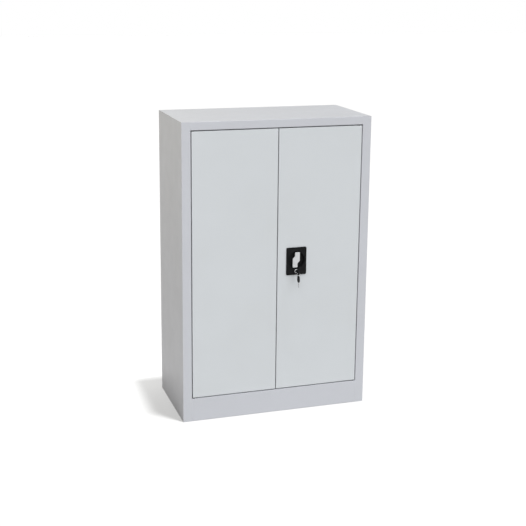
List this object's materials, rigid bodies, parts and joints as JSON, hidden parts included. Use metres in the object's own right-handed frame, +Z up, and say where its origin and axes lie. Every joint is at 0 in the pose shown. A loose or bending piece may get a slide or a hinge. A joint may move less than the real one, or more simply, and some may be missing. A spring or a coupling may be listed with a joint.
{
  "type": "metal storage cabinet",
  "caption": "Folded sheet metal storage cabinet with hinged double doors, a turning handle with a rod lock and key, and clip-in shelves.",
  "frame": {"origin": "on the floor, under the middle of the object's whole box, the key in the lock included", "axes": "+Z up, -Y the way the doors face, +X towards the door with the lock"},
  "size_m": [0.9, 0.499, 1.4],
  "materials": {
    "frame_paint": "satin light grey powder coat",
    "door_paint": "satin pale grey powder coat",
    "inside_paint": "satin light grey powder coat",
    "zinc_steel": "zinc plated",
    "black_plastic": "fine grained black",
    "chrome": "polished plating",
    "nylon": "black moulding",
    "key_steel": "nickel plated"
  },
  "bodies": {
    "carcass": {"left_side_panel": "frame_paint", "right_side_panel": "frame_paint", "top_panel": "frame_paint", "plinth_panel": "frame_paint", "floor_panel": "inside_paint", "back_panel": "inside_paint", "upright_front_left": "inside_paint", "upright_front_right": "inside_paint", "upright_rear_left": "inside_paint", "upright_rear_right": "inside_paint", "shelf_lower": "inside_paint", "shelf_middle": "inside_paint", "shelf_upper": "inside_paint", "clip_lower_front_left": "zinc_steel", "clip_lower_front_right": "zinc_steel", "clip_lower_rear_left": "zinc_steel", "clip_lower_rear_right": "zinc_steel", "clip_middle_front_left": "zinc_steel", "clip_middle_front_right": "zinc_steel", "clip_middle_rear_left": "zinc_steel", "clip_middle_rear_right": "zinc_steel", "clip_upper_front_left": "zinc_steel", "clip_upper_front_right": "zinc_steel", "clip_upper_rear_left": "zinc_steel", "clip_upper_rear_right": "zinc_steel", "pivot_pin_upper_left": "zinc_steel", "pivot_pin_upper_right": "zinc_steel", "pivot_pin_lower_left": "zinc_steel", "pivot_pin_lower_right": "zinc_steel"},
    "left_door": {"left_door_leaf": "door_paint", "left_door_stiffener": "door_paint", "left_bush_upper": "nylon", "left_bush_lower": "nylon", "bolt_bracket_upper": "zinc_steel", "bolt_bracket_lower": "zinc_steel"},
    "upper_bolt": {"upper_bolt": "zinc_steel"},
    "lower_bolt": {"lower_bolt": "zinc_steel"},
    "right_door": {"right_door_leaf": "door_paint", "right_door_stiffener": "door_paint", "right_bush_upper": "nylon", "right_bush_lower": "nylon", "lock_plate": "black_plastic", "lock_case": "zinc_steel", "rod_guide_upper": "zinc_steel", "rod_guide_lower": "zinc_steel", "cylinder_housing": "chrome", "cylinder_nut": "zinc_steel"},
    "handle": {"handle": "chrome", "spindle": "zinc_steel", "drive_crank": "zinc_steel"},
    "upper_rod": {"upper_rod": "zinc_steel"},
    "lower_rod": {"lower_rod": "zinc_steel", "rod_lug": "zinc_steel"},
    "plug": {"lock_plug": "chrome", "lock_tongue": "zinc_steel"},
    "key": {"key_blade": "key_steel", "key_head": "black_plastic"},
    "ring": {"key_ring": "key_steel"},
    "spare_key": {"spare_key_blade": "key_steel", "spare_key_head": "black_plastic"}
  },
  "joints": [
    {"name": "left_door_hinge", "type": "hinge", "parent": "carcass", "child": "left_door", "pos_m": [-0.398, -0.1945, 0.73675], "axis": [0, 0, -1], "range_deg": [0, 105]},
    {"name": "right_door_hinge", "type": "hinge", "parent": "carcass", "child": "right_door", "pos_m": [0.398, -0.1945, 0.73675], "axis": [0, 0, 1], "range_deg": [0, 105]},
    {"name": "upper_bolt_slide", "type": "slide", "parent": "left_door", "child": "upper_bolt", "axis": [0, 0, 1], "range_m": [0, 0.015]},
    {"name": "lower_bolt_slide", "type": "slide", "parent": "left_door", "child": "lower_bolt", "axis": [0, 0, -1], "range_m": [0, 0.015]},
    {"name": "handle_turn", "type": "hinge", "parent": "right_door", "child": "handle", "pos_m": [0.0926, -0.2045, 0.74175], "axis": [0, 1, 0], "range_deg": [0, 90]},
    {"name": "upper_rod_slide", "type": "slide", "parent": "right_door", "child": "upper_rod", "axis": [0, 0, 1], "range_m": [0, 0.0184]},
    {"name": "lower_rod_slide", "type": "slide", "parent": "right_door", "child": "lower_rod", "axis": [0, 0, -1], "range_m": [0, 0.0184]},
    {"name": "key_turn", "type": "hinge", "parent": "right_door", "child": "plug", "pos_m": [0.0926, -0.207, 0.68875], "axis": [0, 1, 0], "range_deg": [0, 90]},
    {"name": "key_slide", "type": "slide", "parent": "plug", "child": "key", "axis": [0, -1, 0], "range_m": [0, 0.03]},
    {"name": "ring_swing", "type": "hinge", "parent": "key", "child": "ring", "pos_m": [0.0926, -0.2375, 0.6872], "axis": [1, 0, 0], "range_deg": [-15, 15]},
    {"name": "spare_key_swing", "type": "hinge", "parent": "ring", "child": "spare_key", "pos_m": [0.0926, -0.2375, 0.6685], "axis": [1, 0, 0], "range_deg": [-20, 20]}
  ],
  "couplings": [
    {"joint": "upper_rod_slide", "follows": "handle_turn", "m_per_rad": 0.011704},
    {"joint": "lower_rod_slide", "follows": "handle_turn", "m_per_rad": 0.011704}
  ]
}
